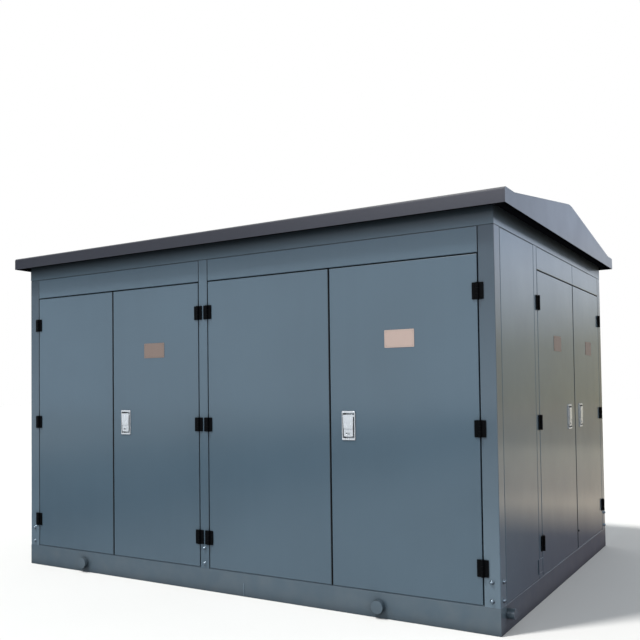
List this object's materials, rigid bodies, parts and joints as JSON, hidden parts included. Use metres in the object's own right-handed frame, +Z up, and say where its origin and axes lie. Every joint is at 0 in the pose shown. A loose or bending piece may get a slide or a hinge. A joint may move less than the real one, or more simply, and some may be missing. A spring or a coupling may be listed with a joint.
{
  "type": "compact substation enclosure",
  "caption": "Steel compact substation enclosure on a channel base, with hinged double doors on the front and right end, flush pull-lever locks and a low gable roof.",
  "frame": {"origin": "on the ground under the middle of the enclosure", "axes": "+X along the long front to the right, +Y into the depth, +Z up; the long front faces -Y"},
  "size_m": [3.774, 2.676, 2.4356],
  "materials": {
    "body_paint": "satin blue-grey powder coat",
    "roof_paint": "satin slate-grey powder coat",
    "hinge_black": "satin black",
    "lock_chrome": "polished chrome plate",
    "inner_steel": "grey primer"
  },
  "bodies": {
    "enclosure": {"base_rail_front": "body_paint", "base_rail_back": "body_paint", "base_rail_right": "body_paint", "base_rail_left": "body_paint", "base_cross_members": "inner_steel", "floor_plate": "inner_steel", "lifting_pins": "body_paint", "end_bosses": "body_paint", "corner_posts": "body_paint", "mid_posts": "body_paint", "end_posts": "body_paint", "end_panels": "body_paint", "header_front": "body_paint", "header_back": "body_paint", "header_right": "body_paint", "header_left": "body_paint", "top_rail_front": "body_paint", "top_rail_back": "body_paint", "top_rail_right": "body_paint", "top_rail_left": "body_paint", "eaves_soffits": "roof_paint", "roof_sheet": "roof_paint", "gable_plates": "roof_paint", "roof_rafters": "inner_steel", "door_stops": "body_paint", "doors_back": "body_paint", "doors_left": "body_paint", "hinges_far_sides": "hinge_black", "locks_far_sides": "lock_chrome", "frame_hinges": "hinge_black"},
    "leaf_front_1": {"door_front_1": "body_paint", "door_hinges_front_1": "hinge_black"},
    "leaf_front_2": {"door_front_2": "body_paint", "door_hinges_front_2": "hinge_black", "lock_case_front_2": "lock_chrome"},
    "lever_front_2": {"lock_lever_front_2": "lock_chrome"},
    "leaf_front_3": {"door_front_3": "body_paint", "door_hinges_front_3": "hinge_black"},
    "leaf_front_4": {"door_front_4": "body_paint", "door_hinges_front_4": "hinge_black", "lock_case_front_4": "lock_chrome"},
    "lever_front_4": {"lock_lever_front_4": "lock_chrome"},
    "leaf_right_1": {"door_right_1": "body_paint", "door_hinges_right_1": "hinge_black", "lock_case_right_1": "lock_chrome"},
    "lever_right_1": {"lock_lever_right_1": "lock_chrome"},
    "leaf_right_2": {"door_right_2": "body_paint", "door_hinges_right_2": "hinge_black", "lock_case_right_2": "lock_chrome"},
    "lever_right_2": {"lock_lever_right_2": "lock_chrome"}
  },
  "joints": [
    {"name": "door_front_1_swing", "type": "hinge", "parent": "enclosure", "child": "leaf_front_1", "pos_m": [-1.709, -1.274, 1.0515], "axis": [0, 0, -1], "range_deg": [0, 90]},
    {"name": "door_front_2_swing", "type": "hinge", "parent": "enclosure", "child": "leaf_front_2", "pos_m": [-0.171, -1.274, 1.0515], "axis": [0, 0, 1], "range_deg": [0, 90]},
    {"name": "lever_front_2_pull", "type": "hinge", "parent": "leaf_front_2", "child": "lever_front_2", "pos_m": [-0.8175, -1.263, 1.107], "axis": [-1, 0, 0], "range_deg": [0, 35]},
    {"name": "door_front_3_swing", "type": "hinge", "parent": "enclosure", "child": "leaf_front_3", "pos_m": [-0.095, -1.274, 1.0515], "axis": [0, 0, -1], "range_deg": [0, 90]},
    {"name": "door_front_4_swing", "type": "hinge", "parent": "enclosure", "child": "leaf_front_4", "pos_m": [1.709, -1.274, 1.0515], "axis": [0, 0, 1], "range_deg": [0, 90]},
    {"name": "lever_front_4_pull", "type": "hinge", "parent": "leaf_front_4", "child": "lever_front_4", "pos_m": [0.9295, -1.263, 1.107], "axis": [-1, 0, 0], "range_deg": [0, 35]},
    {"name": "door_right_1_swing", "type": "hinge", "parent": "enclosure", "child": "leaf_right_1", "pos_m": [1.809, -0.497, 1.0515], "axis": [0, 0, -1], "range_deg": [0, 90]},
    {"name": "lever_right_1_pull", "type": "hinge", "parent": "leaf_right_1", "child": "lever_right_1", "pos_m": [1.798, 0.218, 1.107], "axis": [0, -1, 0], "range_deg": [0, 35]},
    {"name": "door_right_2_swing", "type": "hinge", "parent": "enclosure", "child": "leaf_right_2", "pos_m": [1.809, 1.172, 1.0515], "axis": [0, 0, 1], "range_deg": [0, 90]},
    {"name": "lever_right_2_pull", "type": "hinge", "parent": "leaf_right_2", "child": "lever_right_2", "pos_m": [1.798, 0.532, 1.107], "axis": [0, -1, 0], "range_deg": [0, 35]}
  ]
}
